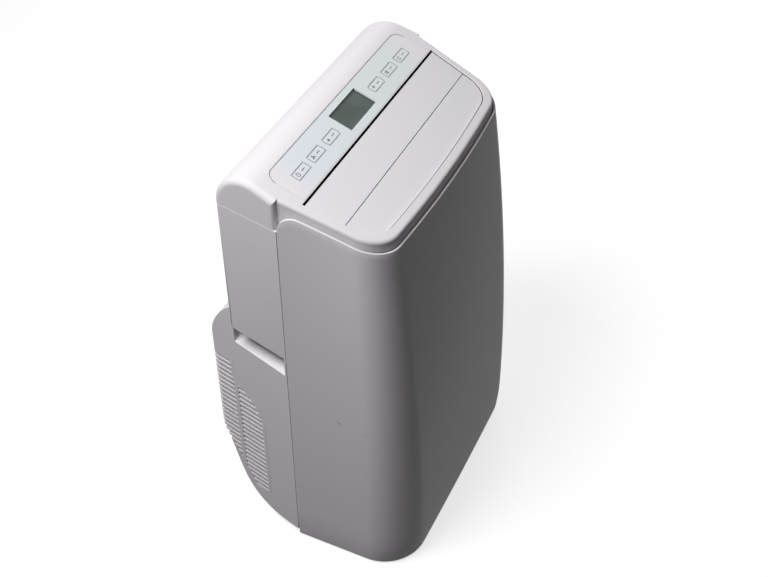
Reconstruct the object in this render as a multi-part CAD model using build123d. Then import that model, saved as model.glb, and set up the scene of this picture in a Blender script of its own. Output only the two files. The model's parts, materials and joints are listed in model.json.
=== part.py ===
from build123d import *
import os
from math import cos, degrees, radians, sin, tan

# Portable air conditioner on casters. Millimetres, +X to the right seen from the front,
# +Y to the rear, +Z up, origin on the floor under the middle of the body.

# Overall form
half_width = 229.0
front_y = -169.0
rear_y = 171.0
bottom_z = 5.0
seam_y = 24.0
seam_gap = 0.8
wall = 3.0
slip = 0.3

# Front panel
front_bow_radius = 4450.0
front_plan_bow_low = 2.5
front_plan_bow_high = 8.0
front_top_z = 616.0
front_top_half_width = half_width - 20.0
front_corner_low = 70.0
front_corner_high = 53.0
tuck_height = 60.0
tuck_depth = 2.5
panel_top_corner = 22.5

# Sloping top
slope = 20.0
slope_z0 = 675.8
cover_wall = 2.6
cover_groove = 1.5
cover_side_groove = 4.2
cover_roll = 5.0
cover_skirt = 16.0
cover_step_radius = 6.0
ridge_radius = 51.0
cover_part_front_z = 638.0
cover_part_rear_z = 646.0
upper_rear_y = 121.5
upper_rear_half_width = half_width - 12.0
part_gap = 0.4

# Control panel, in the plane of the sloping top
film_half_width = half_width - 31.0
film_thick = 0.8
film_front_v = -1.4
film_rear_v = 57.5
film_corner = 17.0
key_length = 33.0
key_width = 14.0
key_v = 25.5
key_outer_x = film_half_width - 42.0
key_middle_x = film_half_width - 84.0
key_inner_x = film_half_width - 127.0
key_places = {"timer": -key_outer_x, "fan": -key_middle_x, "up": -key_inner_x,
              "down": key_inner_x, "mode": key_middle_x, "power": key_outer_x}
key_travel = 0.6
key_lip = 1.5
window_length = 2 * (film_half_width - 159.0)
window_width = 37.2
window_v = 28.2
window_thick = 1.2
window_lap = 2.0
board_w = -13.0
board_thick = 1.6
board_length = 2 * (film_half_width - 6.0)
board_front_v = 13.0
board_rear_v = 52.0
switch_side = 6.0
switch_height = 3.5
plunger_height = 1.0
plunger_radius = 1.7
stub_radius = 2.0
boss_radius = 3.0
boss_inset = 8.0
boss_edge = 6.0

# Outlet and its two louvre blades, in the plane of the sloping top
outlet_rear_v = -3.2
outlet_front_v = -109.6
outlet_bow = 7.5
outlet_rear_half_width = half_width - 23.0
outlet_front_half_width = front_top_half_width - 18.0
outlet_corner = 42.0
blade_gap = 1.0
blade_drop = 3.0
blade_thick = 4.0
blade_split_v = -62.8
blade_rear_gap = 3.0
pivot_offset = 7.7
pivot_drop = 20.0
pivot_pin_radius = 3.0
running = 0.06
ear_radius = 6.0
ear_thick = 4.0
lever_drop = 16.0
lever_x = 120.0
link_pin_radius = 2.0
link_thick = 3.0
duct_wall = 2.0
duct_depth = 70.0
duct_rear_v = 5.5
louvre_motor_radius = 12.0
louvre_motor_room = 24.0

# Rear upper cover and its filter door
handle_lip_front_z = 406.5
handle_lip_rear_z = 424.0
handle_lip_width = 34.0
handle_lip_corner = 18.0
upper_corner = 9.0
filter_width = 2 * (upper_rear_half_width - 31.0)
filter_low_z = 470.0
filter_high_z = 618.0
filter_gap = 0.8
filter_pin_radius = 1.0
filter_slat_pitch = 9.0
filter_slat = 4.0
filter_frame = 8.0
filter_depth = 5.0

# Rear lower housing
lower_rear_half_width = half_width - 33.2
lower_corner = 10.0
ledge_edge_z = 371.5
ledge_tilt = 27.0
shoulder_low_z = 352.0
shoulder_radius = 125.0
shoulder_sweep = 60.0
sweep_low_z = 18.0
lap_y = -60.0
tray_cut_y = 88.0

# Intake grilles
grille_front_y = 77.5
grille_low_z = 62.0
grille_corner_z = 238.0
grille_shoulder_y = 91.0
grille_shoulder_z = 269.0
grille_mullion_low_z = 303.0
grille_mullion_high_z = 337.0
grille_high_z = 350.0
grille_inner_x = 106.0
grille_frame = 6.0
grille_mullion_y = 130.0
grille_mullion = 7.0
slat_pitch = 10.0
slat_gap = 5.4

# Exhaust and rear fittings
exhaust_z = 250.0
exhaust_bore = 74.0
exhaust_length = 26.0
exhaust_front_y = 140.0
collar_wall = 3.0
exhaust_flange = 88.0
gland_x = 66.0
drain_x = -66.0
fitting_z = 150.0
fitting_radius = 11.0
drain_bore = 8.0

# Base and casters
tray_floor_z = 34.0
tray_floor = 4.0
tray_top_z = 72.0
tray_inset = 10.0
tray_rim = 8.0
caster_x = half_width - 64.0
caster_front_y = -115.0
caster_rear_y = 52.0
wheel_radius = 15.0
wheel_width = 16.0
caster_trail = 12.0
axle_radius = 3.0
fork_thick = 3.0
fork_side = 3.0
stem_radius = 5.0
stem_length = 14.0

# Cooling machinery
deck_z = 366.0
deck_thick = 4.0
deck_inset = 14.0
post_x = half_width - 26.0
post_radius = 7.0
coil_half_length = upper_rear_half_width - handle_lip_width - 3.0
coil_thick = 22.0
coil_fin_pitch = 12.0
coil_fin_depth = 3.0
evaporator_low_z = 440.0
evaporator_high_z = 626.0
evaporator_front_y = 84.0
blower_z = 520.0
blower_radius = 116.0
blower_front_y = -20.0
blower_width = 90.0
wheel_blades = 20
cold_wheel_radius = 88.0
hot_wheel_radius = 80.0
hot_blower_radius = 104.0
hot_blower_width = 2 * (half_width - 173.0)
hot_blower_y = 28.0
scroll_foot = 40.0
hot_blower_z = 196.0
motor_radius = 40.0
motor_length = 52.0
shaft_radius = 4.0
condenser_x = half_width - 79.0
condenser_front_y = 30.0
condenser_depth = 76.0
condenser_low_z = 72.0
condenser_high_z = 330.0
compressor_x = half_width - 101.0
compressor_y = -36.0
compressor_radius = 56.0
compressor_height = 196.0
foot_height = 14.0
accumulator_radius = 22.0
accumulator_height = 110.0
pipe_radius = 4.5
electrical_outer_x = half_width - 37.0
electrical_inner_x = blower_radius + 16.0
electrical_front_y = -82.0
electrical_rear_y = 12.0
electrical_height = 150.0

ts = tan(radians(slope))
cs = cos(radians(slope))
sn = sin(radians(slope))
top_plane = Plane(origin=(0, 0, slope_z0), x_dir=(1, 0, 0), z_dir=(0, -sn, cs))
rear_start = seam_y + seam_gap
shoulder_front_y = upper_rear_y + part_gap
handle_inner_x = upper_rear_half_width - handle_lip_width
ledge_top_z = ledge_edge_z + tan(radians(ledge_tilt)) * (half_width - handle_inner_x)
SPAN = 400.0
parts = {}


def top_z(y):
    """Height of the sloping top above a point of the plan."""
    return slope_z0 + ts * y


def polygon(*points):
    return make_face(Polyline(*points, close=True))


def round_corners(face, points, radius):
    """Round the corners of a flat face that lie at the given points."""
    def near(vertex):
        return any(abs(vertex.X - p[0]) + abs(vertex.Y - p[1]) < 1e-3 for p in points)
    return fillet([v for v in face.vertices() if near(v)], radius)


def along_x(face, low=-SPAN, high=SPAN):
    """Extrude a face drawn in Y and Z between two places along X."""
    return Pos(low, 0, 0) * extrude(Plane.YZ * face, amount=high - low, dir=(1, 0, 0))


def box(x0, x1, y0, y1, z0, z1):
    return Pos((x0 + x1) / 2, (y0 + y1) / 2, (z0 + z1) / 2) * Box(x1 - x0, y1 - y0, z1 - z0)


def rod_x(radius, x0, x1, y, z):
    return Pos((x0 + x1) / 2, y, z) * Rot(0, 90, 0) * Cylinder(radius, x1 - x0)


def rod_y(radius, y0, y1, x, z):
    return Pos(x, (y0 + y1) / 2, z) * Rot(90, 0, 0) * Cylinder(radius, y1 - y0)


def rod_z(radius, z0, z1, x, y):
    return Pos(x, y, (z0 + z1) / 2) * Cylinder(radius, z1 - z0)


def on_top(shape):
    """Place a shape drawn in the plane of the sloping top."""
    return top_plane.location * shape


# Front panel: sections that lean back and narrow towards the top
def front_face_y(z):
    return front_y + (z - bottom_z) ** 2 / (2 * front_bow_radius)


def rise(z):
    return (z - bottom_z) / (front_top_z - bottom_z)


def front_bow(z):
    return front_plan_bow_low + (front_plan_bow_high - front_plan_bow_low) * rise(z)


def front_corner(z):
    return front_corner_low + (front_corner_high - front_corner_low) * rise(z)


def front_half_width(z):
    return half_width - (half_width - front_top_half_width) * rise(z) ** 2


def bowed_plan(side, back_y, corner, face_y, bow, radius):
    """Plan closed at the rear, with sides that lean in, round corners and a front that bows forward."""
    left, right = (-corner, face_y + bow), (corner, face_y + bow)
    face = make_face([ThreePointArc(left, (0, face_y), right), Line(right, (side, back_y)),
                      Line((side, back_y), (-side, back_y)), Line((-side, back_y), left)])
    return round_corners(face, [left, right], radius)


def front_section(z, inset, back_y):
    """Plan of the front panel at one height, closed at the rear."""
    inward = inset + tuck_depth * max(0.0, (tuck_height - z) / (tuck_height - bottom_z)) ** 2
    side = half_width - inward
    corner = front_half_width(z) - inward
    return bowed_plan(side, back_y, corner, front_face_y(z) + inward, front_bow(z), front_corner(z) - inset)


def panel_edge_z(y):
    """Top edge of the front panel along its sides."""
    return front_top_z + ts * (y - front_face_y(front_top_z))


def front_panel():
    steps = [0.0, 0.035, 0.075, 0.27, 0.52, 0.77, 0.97, 1.12]
    heights = [bottom_z + s * (front_top_z - bottom_z) for s in steps]
    outer = loft([Pos(0, 0, z) * front_section(z, 0, seam_y + wall) for z in heights])
    inner_faces = [Pos(0, 0, z) * front_section(z, wall, seam_y + 2 * wall) for z in heights]
    inner_faces[0] = Pos(0, 0, -1) * inner_faces[0]
    shell = outer - loft(inner_faces)
    crest = (seam_y, panel_edge_z(seam_y))
    keep = polygon((-SPAN, 0), (seam_y, 0), crest, (-SPAN, panel_edge_z(-SPAN)))
    keep = round_corners(keep, [crest], panel_top_corner)
    return shell & along_x(keep)


# Top cover: a front part inside the panel's lip and a rear part flush with the sides
def cover_front(inset, roll):
    """Front part of the cover; the hollow of the same form runs on a little into the rear part."""
    inward = wall + cover_groove + inset
    side = half_width - wall - cover_side_groove - inset
    corner = front_top_half_width - wall - cover_side_groove - inset
    face_y = front_face_y(front_top_z) + inward
    back_y = rear_start + 2 * inset
    radius = front_corner_high - inward
    drop = inset / cs
    plan = bowed_plan(side, back_y, corner, face_y, front_plan_bow_high, radius)
    skirt_z = front_top_z - cover_skirt
    side_view = polygon(
        (2 * front_y, skirt_z), (front_y, skirt_z), (back_y, cover_part_front_z - cover_roll),
        (back_y, top_z(back_y) - drop), (2 * front_y, top_z(2 * front_y) - drop))
    body = extrude(plan, amount=2 * slope_z0, dir=(0, 0, 1)) & along_x(side_view)
    def on_edge(edge):
        middle = edge.center()
        return abs(middle.Z - top_z(middle.Y) + drop) < 0.5 and middle.Y < back_y - 1
    return fillet([e for e in body.edges() if on_edge(e)], roll)


def upper_plan(inset, front):
    """Plan of the rear part above the bulge, widest at the seam."""
    side = half_width - inset
    back = upper_rear_half_width - inset
    rear = upper_rear_y - inset
    return polygon((-side, front), (-back, rear), (back, rear), (side, front))


def cover_rear(inset, roll):
    drop = inset / cs
    rear = upper_rear_y - inset
    front = rear_start + inset
    crest = (rear, top_z(rear) - drop)
    side_view = polygon((front, cover_part_front_z), (rear, cover_part_rear_z), crest,
                        (front, top_z(front) - drop))
    side_view = round_corners(side_view, [crest], ridge_radius - inset)
    body = extrude(upper_plan(inset, front), amount=2 * slope_z0, dir=(0, 0, 1)) & along_x(side_view)
    def on_edge(edge):
        middle = edge.center()
        outside = abs(middle.X) > upper_rear_half_width - 10
        return outside and middle.Z > cover_part_rear_z + 2 and middle.Y > front + 1
    body = fillet([e for e in body.edges() if on_edge(e)], roll)
    corners = [(inset - half_width, front), (half_width - inset, front)]
    plan = round_corners(upper_plan(inset, front), corners, cover_step_radius - inset)
    return body & extrude(plan, amount=2 * slope_z0, dir=(0, 0, 1))


def outlet_outline(grow, rear_v):
    """Outline of the outlet in the sloping top, grown outward, with a bowed front and round corners."""
    lean = (outlet_rear_half_width - outlet_front_half_width) / (outlet_rear_v - outlet_front_v)
    front = outlet_front_v - grow
    front_half = outlet_front_half_width + grow - lean * grow
    rear_half = front_half + lean * (rear_v - front)
    return bowed_plan(rear_half, rear_v, front_half, front - outlet_bow, outlet_bow, outlet_corner + grow)


def film_outline(grow):
    side = film_half_width + grow
    front, rear = film_front_v - grow, film_rear_v + grow
    face = polygon((-side, front), (side, front), (side, rear), (-side, rear))
    return round_corners(face, [(-side, rear), (side, rear)], film_corner + grow)


def slab(face, low, high):
    """Extrude an outline of the sloping top between two depths."""
    return Pos(0, 0, low) * extrude(face, amount=high - low, dir=(0, 0, 1))


def key_holes(grow, low, high):
    size = (key_length + 2 * grow, key_width + 2 * grow)
    holes = Part()
    for x in key_places.values():
        holes += slab(Pos(x, key_v) * Rectangle(*size), low, high)
    return holes


def top_cover():
    shell = cover_front(0, cover_roll) + cover_rear(0, upper_corner)
    shell -= cover_front(cover_wall, cover_roll - cover_wall)
    shell -= cover_rear(cover_wall, upper_corner - cover_wall)
    cuts = slab(outlet_outline(0, outlet_rear_v), -cover_groove - cover_wall, 5)
    cuts += slab(film_outline(slip), -film_thick, 5)
    cuts += key_holes(slip, -2 * cover_wall, 5)
    cuts += slab(Pos(0, window_v) * Rectangle(window_length, window_width), -2 * cover_wall, 5)
    bosses = Part()
    for x in (boss_inset - board_length / 2, board_length / 2 - boss_inset):
        for v in (board_front_v + boss_edge, board_rear_v - boss_edge):
            bosses += slab(Pos(x, v) * Circle(boss_radius), board_w, film_thick - cover_wall)
    return shell - on_top(cuts) + on_top(bosses)


# Control panel pieces
def control_panel():
    film = slab(film_outline(0), -film_thick, 0)
    film -= key_holes(slip, -1, 1)
    film -= slab(Pos(0, window_v) * Rectangle(window_length, window_width), -1, 1)
    return on_top(film)


def key(x):
    """One flat key: cap, retaining lip under the cover and a stub over its switch."""
    lip_w = -cover_wall - key_travel / 2
    stub_w = board_w + switch_height + plunger_height + key_travel + 0.1
    cap = slab(Rectangle(key_length, key_width), lip_w, 0)
    lip = slab(Rectangle(key_length + 2 * key_lip, key_width + 2 * key_lip), lip_w - 1.0, lip_w)
    stub = Pos(0, 0, (lip_w - 1 + stub_w) / 2) * Cylinder(stub_radius, lip_w - 1 - stub_w)
    return on_top(Pos(x, key_v) * (cap + lip + stub))


def display_window():
    size = (window_length + 2 * window_lap, window_width + 2 * window_lap)
    return on_top(slab(Pos(0, window_v) * Rectangle(*size), -cover_wall - window_thick, -cover_wall))


def display_module():
    size = (window_length + 3, window_width + 1)
    return on_top(slab(Pos(0, window_v) * Rectangle(*size), board_w, -cover_wall - window_thick))


def control_board():
    width = board_rear_v - board_front_v
    outline = Pos(0, board_front_v + width / 2) * Rectangle(board_length, width)
    board = slab(outline, board_w - board_thick, board_w)
    for x in key_places.values():
        body = slab(Pos(x, key_v) * Rectangle(switch_side, switch_side), board_w, board_w + switch_height)
        plunger_w = board_w + switch_height + plunger_height / 2
        board += body + Pos(x, key_v, plunger_w) * Cylinder(plunger_radius, plunger_height)
    return on_top(board)


# Outlet duct, louvre blades, tie bar and motor
blade_low = -blade_drop - blade_thick
pivot_w = -pivot_drop
rear_blade_v = outlet_rear_v - blade_rear_gap
front_blade_v = blade_split_v - blade_gap / 2
rear_pivot_v = rear_blade_v - pivot_offset
front_pivot_v = front_blade_v - pivot_offset


def outlet_half_width(v):
    share = (v - outlet_front_v) / (outlet_rear_v - outlet_front_v)
    return outlet_front_half_width + (outlet_rear_half_width - outlet_front_half_width) * share


def ear_x(pivot_v):
    """Outer face of a blade's end ears."""
    return outlet_half_width(pivot_v) - blade_gap - 5


def local_rod(radius, x0, x1, v, w):
    return rod_x(radius, x0, x1, v, w)


def louvre(rear_v, front_v, pivot_v, driven):
    """One blade with an end ear and pin on each side and a lever for the tie bar."""
    band = polygon((-SPAN, front_v), (SPAN, front_v), (SPAN, rear_v), (-SPAN, rear_v))
    body = slab(outlet_outline(-blade_gap, rear_v) & band, blade_low, -blade_drop)
    ear_out = ear_x(pivot_v)
    for side in (-1, 1):
        on_motor = driven and side < 0
        inner = side * (ear_out - ear_thick - (louvre_motor_room if on_motor else 0))
        outer = inner + side * ear_thick
        low, high = min(inner, outer), max(inner, outer)
        body += local_rod(ear_radius, low, high, pivot_v, pivot_w)
        body += box(low, high, pivot_v - ear_radius, pivot_v + ear_radius, pivot_w, blade_low)
        if on_motor:
            body -= local_rod(shaft_radius / 2 + running, low - 1, high + 1, pivot_v, pivot_w)
        else:
            tip = side * (outlet_half_width(pivot_v) + duct_wall + 0.5)
            body += local_rod(pivot_pin_radius, min(outer, tip), max(outer, tip), pivot_v, pivot_w)
    lever_low = pivot_w - lever_drop
    body += box(lever_x - ear_thick, lever_x, pivot_v - 4, pivot_v + 4, lever_low, blade_low)
    body += local_rod(4, lever_x - ear_thick, lever_x, pivot_v, lever_low)
    body += local_rod(link_pin_radius, lever_x, lever_x + link_thick + 2, pivot_v, lever_low)
    return on_top(body)


def louvre_link():
    """Tie bar between the two levers; its front hole is the loose one."""
    low = lever_x + slip
    high = low + link_thick
    w = pivot_w - lever_drop
    bar = box(low, high, front_pivot_v, rear_pivot_v, w - 4, w + 4)
    bar += local_rod(5, low, high, front_pivot_v, w) + local_rod(5, low, high, rear_pivot_v, w)
    bar -= local_rod(link_pin_radius + running, low - 1, high + 1, rear_pivot_v, w)
    bar -= local_rod(link_pin_radius + 2 * slip, low - 1, high + 1, front_pivot_v, w)
    return on_top(bar)


def louvre_motor():
    """Small stepper on the duct's left wall; its shaft turns the rear blade."""
    ear_outer = louvre_motor_room - ear_x(rear_pivot_v)
    wall_x = -(outlet_half_width(rear_pivot_v - louvre_motor_radius) - 0.5)
    body = local_rod(louvre_motor_radius, wall_x, ear_outer - 1, rear_pivot_v, pivot_w)
    body += local_rod(shaft_radius / 2, ear_outer - 1, ear_outer + ear_thick, rear_pivot_v, pivot_w)
    return on_top(body)


def outlet_duct():
    outer = slab(outlet_outline(slip + duct_wall, duct_rear_v + duct_wall), -duct_depth, -cover_wall - 0.1)
    hollow = slab(outlet_outline(slip, duct_rear_v), -duct_depth - 1, 0)
    duct = outer - hollow
    duct -= box(-SPAN, SPAN, -SPAN, outlet_front_v + 5, blade_low + 0.5, 0)
    for pivot_v in (rear_pivot_v, front_pivot_v):
        sides = (1,) if pivot_v == rear_pivot_v else (-1, 1)
        for side in sides:
            reach = outlet_half_width(pivot_v)
            low, high = sorted((side * (reach - 6), side * (reach + 8)))
            duct -= local_rod(pivot_pin_radius + running, low, high, pivot_v, pivot_w)
    return on_top(duct)


# Rear upper cover with its handle lips, filter door and filter
lip_slope = (handle_lip_rear_z - handle_lip_front_z) / (upper_rear_y - rear_start)


def lip_z(y):
    return handle_lip_front_z + lip_slope * (y - rear_start)


def rear_upper_body(inset, lift):
    rear = upper_rear_y - inset
    front = rear_start - (5 if inset else 0)
    low_rear = (rear, lip_z(upper_rear_y) + lift)
    side_view = polygon((front, lip_z(front) + lift), low_rear, (rear, 2 * slope_z0), (front, 2 * slope_z0))
    side_view = round_corners(side_view, [low_rear], handle_lip_corner - inset)
    if not inset:
        seam_line = polygon((front, 0), (rear, 0), (rear, cover_part_rear_z - part_gap),
                            (front, cover_part_front_z - part_gap))
        side_view = side_view & seam_line
    plan = upper_plan(inset, front)
    side = upper_rear_half_width - inset
    plan = round_corners(plan, [(-side, rear), (side, rear)], upper_corner - inset)
    return extrude(plan, amount=2 * slope_z0, dir=(0, 0, 1)) & along_x(side_view)


def rear_upper_cover():
    shell = rear_upper_body(0, 0) - rear_upper_body(wall, wall)
    inner_x = handle_inner_x
    shell -= box(-inner_x, inner_x, 0, upper_rear_y - 3 * wall, 0, handle_lip_rear_z + 2 * wall)
    rear = upper_rear_y - wall / 2
    for side in (-1, 1):
        low, high = sorted((side * inner_x, side * (inner_x + wall)))
        pocket = polygon((rear_start, 0), (rear, 0), (rear, lip_z(rear) + wall),
                         (rear_start, lip_z(rear_start) + wall))
        shell += along_x(pocket, low, high) & roof_room(-slip)
        low, high = sorted((side * inner_x, side * half_width))
        end = box(low, high, rear_start, rear_start + wall, 0, lip_z(rear_start) + wall)
        outside = extrude(upper_plan(0, rear_start), amount=2 * slope_z0, dir=(0, 0, 1))
        shell += end & roof_room(-slip) & outside
    half = filter_width / 2
    shell -= box(-half, half, upper_rear_y - 2 * wall, upper_rear_y + 1, filter_low_z, filter_high_z)
    hinge_y = upper_rear_y - wall / 2
    hinge_z = filter_low_z + filter_gap + 3
    for side in (-1, 1):
        low, high = sorted((side * (half - 1), side * (half + 4)))
        lug_low, lug_high = sorted((side * half, side * (half + 6)))
        inside = upper_rear_y - wall
        shell += box(lug_low, lug_high, inside - 3, inside + 0.5, hinge_z - 4, hinge_z + 4)
        shell -= rod_x(filter_pin_radius + running, low, high, hinge_y, hinge_z)
    return shell


def filter_grille():
    """Slatted door over the filter, on two hinge pins at its lower corners."""
    half = filter_width / 2 - filter_gap
    low = filter_low_z + filter_gap
    high = filter_high_z - filter_gap
    door = box(-half, half, upper_rear_y - wall, upper_rear_y, low, high)
    z = low + filter_frame
    gap = filter_slat_pitch - filter_slat
    while z + gap < high - filter_frame + 0.1:
        for x0, x1 in ((-half + filter_frame, -filter_slat), (filter_slat, half - filter_frame)):
            door -= box(x0, x1, upper_rear_y - wall - 1, upper_rear_y + 1, z, z + gap)
        z += filter_slat_pitch
    hinge_z = filter_low_z + filter_gap + 3
    for side in (-1, 1):
        x0, x1 = sorted((side * half, side * (half + filter_gap + 3)))
        door += rod_x(filter_pin_radius, x0, x1, upper_rear_y - wall / 2, hinge_z)
    return door


def air_filter():
    """Washable filter: a frame with a coarse net, clipped behind the door."""
    half = filter_width / 2 - filter_frame
    low = filter_low_z + filter_frame
    high = filter_high_z - filter_frame
    rear = upper_rear_y - wall
    frame = box(-half, half, rear - filter_depth, rear, low, high)
    columns, rows = 6, 3
    cell_x = (2 * half - 6) / columns
    cell_z = (high - low - 6) / rows
    for i in range(columns):
        for j in range(rows):
            x = -half + 3 + cell_x * (i + 0.5)
            z = low + 3 + cell_z * (j + 0.5)
            frame -= Pos(x, rear - filter_depth / 2 + 1, z) * Box(cell_x - 6, filter_depth, cell_z - 6)
    return frame


# Rear lower housing: the bulge with the handle ledge, swept up at its rear foot
def lower_plan(inset):
    side = half_width - inset
    back = lower_rear_half_width - inset
    rear = rear_y - inset
    face = polygon((-side, lap_y), (-side, rear_start), (-back, rear), (back, rear), (side, rear_start),
                   (side, lap_y))
    return round_corners(face, [(-back, rear), (back, rear)], lower_corner - inset)


def sweep_points(inset):
    """Rear foot of the housing, from under the base up to the rear face, moved inward by a wall."""
    depth = rear_y - rear_start
    shape = [(0.0, 0, 90), (0.32, 6, 80), (0.56, 26, 60), (0.74, 66, 35), (0.90, 134, 14), (1.0, 262, 0)]
    places = []
    for share, lift, lean in shape:
        away = radians(lean)
        y = rear_start + share * depth - inset * cos(away)
        places.append((y, sweep_low_z + lift + inset * sin(away)))
    return places


def lower_side_view(inset):
    """Side outline of the bulge with its round shoulder, moved inward by the wall where one is asked for."""
    points = sweep_points(inset)
    radius = shoulder_radius - inset
    shoulder = CenterArc((rear_y - shoulder_radius, shoulder_low_z), radius, 0, shoulder_sweep)
    low, high = shoulder @ 0, shoulder @ 1
    front = (lap_y, points[0][1])
    edges = [Line(front, points[0]), Spline(*points, tangents=[(1, 0), (0, 1)]), Line(points[-1], low),
             shoulder, Line(high, (lap_y, high.Y)), Line((lap_y, high.Y), front)]
    return make_face(edges)


def roof_room(inset):
    """Space above the housing's roof up to its shoulder; the roof is flat between two tilted ledges."""
    drop = inset / cos(radians(ledge_tilt))
    edge_z = ledge_edge_z - tan(radians(ledge_tilt)) * (SPAN - half_width) - drop
    top = ledge_top_z - drop
    view = polygon((-SPAN, edge_z), (-handle_inner_x, top), (handle_inner_x, top), (SPAN, edge_z),
                   (SPAN, 2 * slope_z0), (-SPAN, 2 * slope_z0))
    depth = shoulder_front_y + inset + SPAN
    return Pos(0, -SPAN, 0) * extrude(Plane.XZ * view, amount=depth, dir=(0, 1, 0))


def lower_body(inset):
    body = extrude(lower_plan(inset), amount=2 * slope_z0, dir=(0, 0, 1)) & along_x(lower_side_view(inset))
    return body - roof_room(inset)


def grille_region(inset, side):
    """Space cut out for one intake grille: the side wall and round the rear corner."""
    depth = rear_y - rear_start
    far_y = rear_y + 20
    outline = polygon(
        (grille_front_y, grille_low_z), (rear_start + 0.60 * depth, grille_low_z),
        (rear_start + 0.82 * depth, grille_low_z + 60), (far_y, grille_low_z + 124), (far_y, grille_high_z),
        (grille_mullion_y, grille_mullion_high_z), (grille_mullion_y, grille_mullion_low_z),
        (grille_shoulder_y, grille_shoulder_z), (grille_front_y, grille_corner_z))
    if inset:
        outline = offset(outline, amount=-inset, kind=Kind.INTERSECTION)
    x0, x1 = sorted((side * (grille_inner_x + inset), side * SPAN))
    return along_x(outline, x0, x1)


def lower_shell():
    return lower_body(0) - lower_body(wall) - box(-SPAN, SPAN, -100, rear_start, -10, SPAN * 2)


def fitting_wall_y():
    """Rear wall of the swept foot at the height of the drain and the cord gland."""
    (y0, z0), (y1, z1) = sweep_points(0)[-2:]
    return y0 + (y1 - y0) * (fitting_z - z0) / (z1 - z0)


def rear_lower_housing():
    shell = lower_shell()
    for side in (-1, 1):
        shell -= grille_region(0, side)
    tunnel = exhaust_bore + collar_wall + slip
    shell += rod_y(tunnel + wall, exhaust_front_y, rear_y + 5, 0, exhaust_z) & lower_body(0)
    shell -= rod_y(tunnel, exhaust_front_y - 5, rear_y + 5, 0, exhaust_z)
    for x in (gland_x, drain_x):
        shell -= rod_y(fitting_radius + slip, rear_start + 60, rear_y + 5, x, fitting_z)
    return shell - base_outline(tray_inset - 0.6, sweep_low_z - 10, tray_top_z + 1, tray_cut_y + 0.6)


def intake_grille(side):
    """Moulded slats in a frame that follows the bulge round its rear corner."""
    panel = lower_shell() & grille_region(part_gap, side)
    room = grille_region(grille_frame, side)
    slots = Part()
    z = grille_low_z + grille_frame
    while z < grille_high_z - grille_frame:
        x0, x1 = sorted((side * grille_inner_x, side * SPAN))
        mullion_low = grille_mullion_y - grille_mullion / 2
        mullion_high = grille_mullion_y + grille_mullion / 2
        slots += box(x0, x1, grille_front_y, mullion_low, z, z + slat_gap)
        slots += box(x0, x1, mullion_high, rear_y + 10, z, z + slat_gap)
        z += slat_pitch
    return panel - (slots & room)


def exhaust_collar():
    """Ring that takes the hose's end, held in the housing's tunnel by an inner flange."""
    end = exhaust_front_y + exhaust_length
    ring = rod_y(exhaust_bore + collar_wall, exhaust_front_y - wall, end - wall, 0, exhaust_z)
    ring += rod_y(exhaust_flange, exhaust_front_y - wall, exhaust_front_y, 0, exhaust_z)
    return ring - rod_y(exhaust_bore, exhaust_front_y - 2 * wall, end, 0, exhaust_z)


def drain_spout():
    wall_y = fitting_wall_y()
    tube = rod_y(fitting_radius, wall_y - 24, wall_y + 2, drain_x, fitting_z)
    tube += rod_y(fitting_radius + 3, wall_y - 24, wall_y - 20, drain_x, fitting_z)
    return tube - rod_y(drain_bore, wall_y - 20, wall_y + 3, drain_x, fitting_z)


def drain_plug():
    wall_y = fitting_wall_y()
    plug = rod_y(drain_bore - running, wall_y - 14, wall_y + 2 + slip, drain_x, fitting_z)
    plug += rod_y(fitting_radius, wall_y + 2 + slip, wall_y + 5, drain_x, fitting_z)
    return plug + box(drain_x - 1.5, drain_x + 1.5, wall_y + 5, wall_y + 11, fitting_z - 7, fitting_z + 7)


def cord_gland():
    wall_y = fitting_wall_y()
    body = rod_y(fitting_radius, wall_y - 16, wall_y + 2, gland_x, fitting_z)
    body += rod_y(fitting_radius + 3, wall_y - 17, wall_y - 11, gland_x, fitting_z)
    return body - rod_y(4, wall_y - 20, wall_y + 5, gland_x, fitting_z)


# Base tray and casters
def base_outline(inset, low, high, rear):
    """Block with the plan of the base: the front panel's plan and sides drawn in at the rear."""
    side = half_width - inset
    corner = front_half_width(tray_top_z) - inset
    lean = (half_width - lower_rear_half_width) / (rear_y - rear_start)
    back = side - lean * (rear - rear_start)
    face_y = front_face_y(tray_top_z) + inset
    radius = front_corner(tray_top_z) - inset
    plan = bowed_plan(side, rear_start, corner, face_y, front_bow(tray_top_z), radius)
    plan += polygon((-side, rear_start), (side, rear_start), (back, rear), (-back, rear))
    return Pos(0, 0, low) * extrude(plan, amount=high - low, dir=(0, 0, 1))


def caster_places():
    return {"front_left": (-caster_x, caster_front_y), "front_right": (caster_x, caster_front_y),
            "rear_left": (-caster_x, caster_rear_y), "rear_right": (caster_x, caster_rear_y)}


def base_tray():
    tray = base_outline(tray_inset, tray_floor_z, tray_top_z, tray_cut_y)
    tray -= base_outline(tray_inset + wall, tray_floor_z + tray_floor, tray_top_z + 1, tray_cut_y - wall)
    ring = base_outline(wall + slip, tray_top_z - tray_rim, tray_top_z, tray_cut_y)
    ring &= box(-SPAN, SPAN, -SPAN, seam_y, 0, SPAN)
    tray += ring - base_outline(tray_inset + 1, 0, SPAN, tray_cut_y)
    floor = tray_floor_z + tray_floor
    for side in (-1, 1):
        x0, x1 = sorted((side * condenser_x, side * (condenser_x + coil_thick)))
        tray += box(x0, x1, condenser_front_y, tray_cut_y - wall - 8, floor, condenser_low_z)
    for x, y in caster_places().values():
        tray += rod_z(stem_radius + 4, floor, floor + stem_length, x, y)
        tray -= rod_z(stem_radius + running, tray_floor_z - 1, floor + stem_length - 2, x, y)
    return tray


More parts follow.
